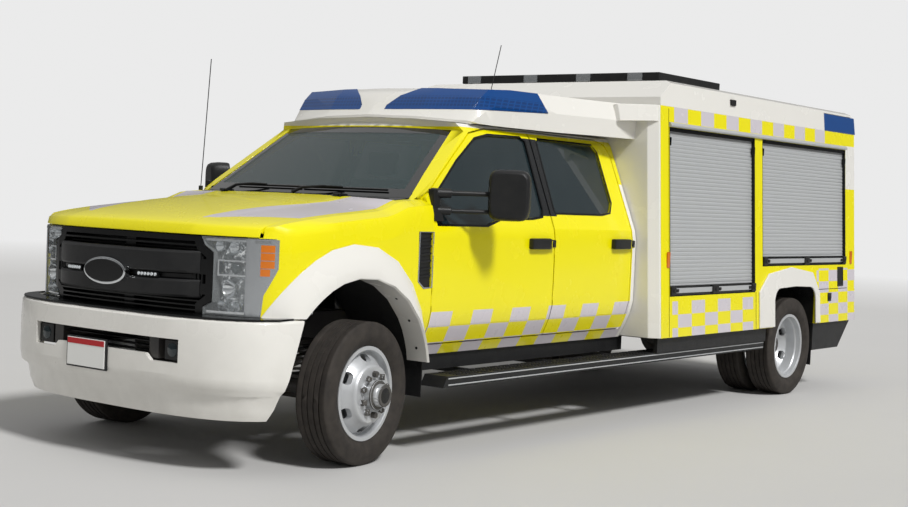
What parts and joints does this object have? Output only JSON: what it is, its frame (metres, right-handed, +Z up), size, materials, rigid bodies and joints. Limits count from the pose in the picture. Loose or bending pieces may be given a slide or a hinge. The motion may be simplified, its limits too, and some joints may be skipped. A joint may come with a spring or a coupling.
{
  "type": "airport fire and rescue truck with a crew cab",
  "caption": "Crew-cab rescue truck: bonneted cab with opening doors and hood, steered front wheels, twin rear wheels, and a locker body with roller shutters.",
  "frame": {"origin": "on the ground under the middle of the vehicle's overall length and width", "axes": "+X to the vehicle's left, +Y to its rear, +Z up"},
  "size_m": [2.7414, 7.427, 2.6557],
  "materials": {
    "paint_yellow": "gloss fluorescent lemon yellow",
    "paint_white": "gloss white moulding",
    "frame_black": "satin black chassis paint",
    "engine_iron": "bare casting",
    "exhaust_steel": "dull steel",
    "black_plastic": "grained black moulding",
    "tinted_glass": "tinted",
    "dash_plastic": "grained dark grey",
    "seat_fabric": "woven grey",
    "lamp_lens": "clear lens over bright reflectors",
    "blue_lens": "deep blue clear lens",
    "red_lens": "red lens",
    "shutter_aluminium": "anodised slats",
    "wheel_silver": "silver wheel paint",
    "tyre_rubber": "worn rubber"
  },
  "bodies": {
    "root": {"chassis_frame": "frame_black", "engine": "engine_iron", "drivetrain": "frame_black", "exhaust": "exhaust_steel", "fuel_tank": "black_plastic", "front_axle": "frame_black", "rear_axle": "frame_black", "cab_shell": "paint_yellow", "cab_glass": "tinted_glass", "dashboard": "dash_plastic", "steering_wheel": "black_plastic", "seats": "seat_fabric", "front_fenders": "paint_yellow", "front_flares": "paint_white", "wheel_liners": "black_plastic", "grille": "black_plastic", "headlamps": "lamp_lens", "front_bumper": "paint_white", "roof_fairing": "paint_white", "front_beacons": "blue_lens", "body_bulkhead": "paint_white", "rescue_body": "paint_yellow", "body_roof": "paint_white", "rear_beacons": "blue_lens", "side_shutters": "shutter_aluminium", "rear_shutter": "shutter_aluminium", "rear_arches": "paint_white", "body_skirts": "black_plastic", "side_steps": "black_plastic", "rear_step": "frame_black", "tail_lamps": "red_lens", "roof_frame": "black_plastic", "antennas": "black_plastic"},
    "hood": {"hood": "paint_yellow"},
    "door_front_left": {"door_front_left": "paint_yellow", "glass_front_left": "tinted_glass", "mirror_left": "black_plastic"},
    "door_front_right": {"door_front_right": "paint_yellow", "glass_front_right": "tinted_glass", "mirror_right": "black_plastic"},
    "door_rear_left": {"door_rear_left": "paint_yellow", "glass_rear_left": "tinted_glass"},
    "door_rear_right": {"door_rear_right": "paint_yellow", "glass_rear_right": "tinted_glass"},
    "knuckle_left": {"knuckle_left": "frame_black"},
    "knuckle_right": {"knuckle_right": "frame_black"},
    "tie_rod": {"tie_rod": "frame_black"},
    "wheel_front_left": {"tyre_front_left": "tyre_rubber", "rim_front_left": "wheel_silver"},
    "wheel_front_right": {"tyre_front_right": "tyre_rubber", "rim_front_right": "wheel_silver"},
    "wheels_rear_left": {"tyres_rear_left": "tyre_rubber", "rims_rear_left": "wheel_silver"},
    "wheels_rear_right": {"tyres_rear_right": "tyre_rubber", "rims_rear_right": "wheel_silver"}
  },
  "joints": [
    {"name": "hood_hinge", "type": "hinge", "parent": "root", "child": "hood", "pos_m": [0, -2.3955, 1.484], "axis": [-1, 0, 0], "range_deg": [0, 50]},
    {"name": "door_front_left_hinge", "type": "hinge", "parent": "root", "child": "door_front_left", "pos_m": [1.016, -2.1405, 1], "axis": [0, 0, -1], "range_deg": [0, 68]},
    {"name": "door_front_right_hinge", "type": "hinge", "parent": "root", "child": "door_front_right", "pos_m": [-1.016, -2.1405, 1], "axis": [0, 0, 1], "range_deg": [0, 68]},
    {"name": "door_rear_left_hinge", "type": "hinge", "parent": "root", "child": "door_rear_left", "pos_m": [1.016, -0.8755, 1], "axis": [0, 0, -1], "range_deg": [0, 68]},
    {"name": "door_rear_right_hinge", "type": "hinge", "parent": "root", "child": "door_rear_right", "pos_m": [-1.016, -0.8755, 1], "axis": [0, 0, 1], "range_deg": [0, 68]},
    {"name": "steer_left", "type": "hinge", "parent": "root", "child": "knuckle_left", "pos_m": [0.8, -2.7405, 0.396], "axis": [0, 0, 1], "range_deg": [-40, 26]},
    {"name": "steer_right", "type": "hinge", "parent": "root", "child": "knuckle_right", "pos_m": [-0.8, -2.7405, 0.396], "axis": [0, 0, 1], "range_deg": [-40, 26]},
    {"name": "tie_rod_pivot", "type": "hinge", "parent": "knuckle_left", "child": "tie_rod", "pos_m": [0.77685, -2.55192, 0.336], "axis": [0, 0, 1], "range_deg": [-26, 40]},
    {"name": "wheel_front_left_spin", "type": "hinge", "parent": "knuckle_left", "child": "wheel_front_left", "pos_m": [0.94888, -2.72222, 0.396], "axis": [0.9925, 0.1219, 0], "continuous": true},
    {"name": "wheel_front_right_spin", "type": "hinge", "parent": "knuckle_right", "child": "wheel_front_right", "pos_m": [-0.94888, -2.75878, 0.396], "axis": [0.9925, 0.1219, 0], "continuous": true},
    {"name": "wheels_rear_left_spin", "type": "hinge", "parent": "root", "child": "wheels_rear_left", "pos_m": [1.076, 2.4235, 0.396], "axis": [1, 0, 0], "continuous": true},
    {"name": "wheels_rear_right_spin", "type": "hinge", "parent": "root", "child": "wheels_rear_right", "pos_m": [-1.076, 2.4235, 0.396], "axis": [1, 0, 0], "continuous": true}
  ],
  "couplings": [
    {"joint": "steer_right", "follows": "steer_left", "ratio": 1},
    {"joint": "tie_rod_pivot", "follows": "steer_left", "ratio": -1}
  ]
}
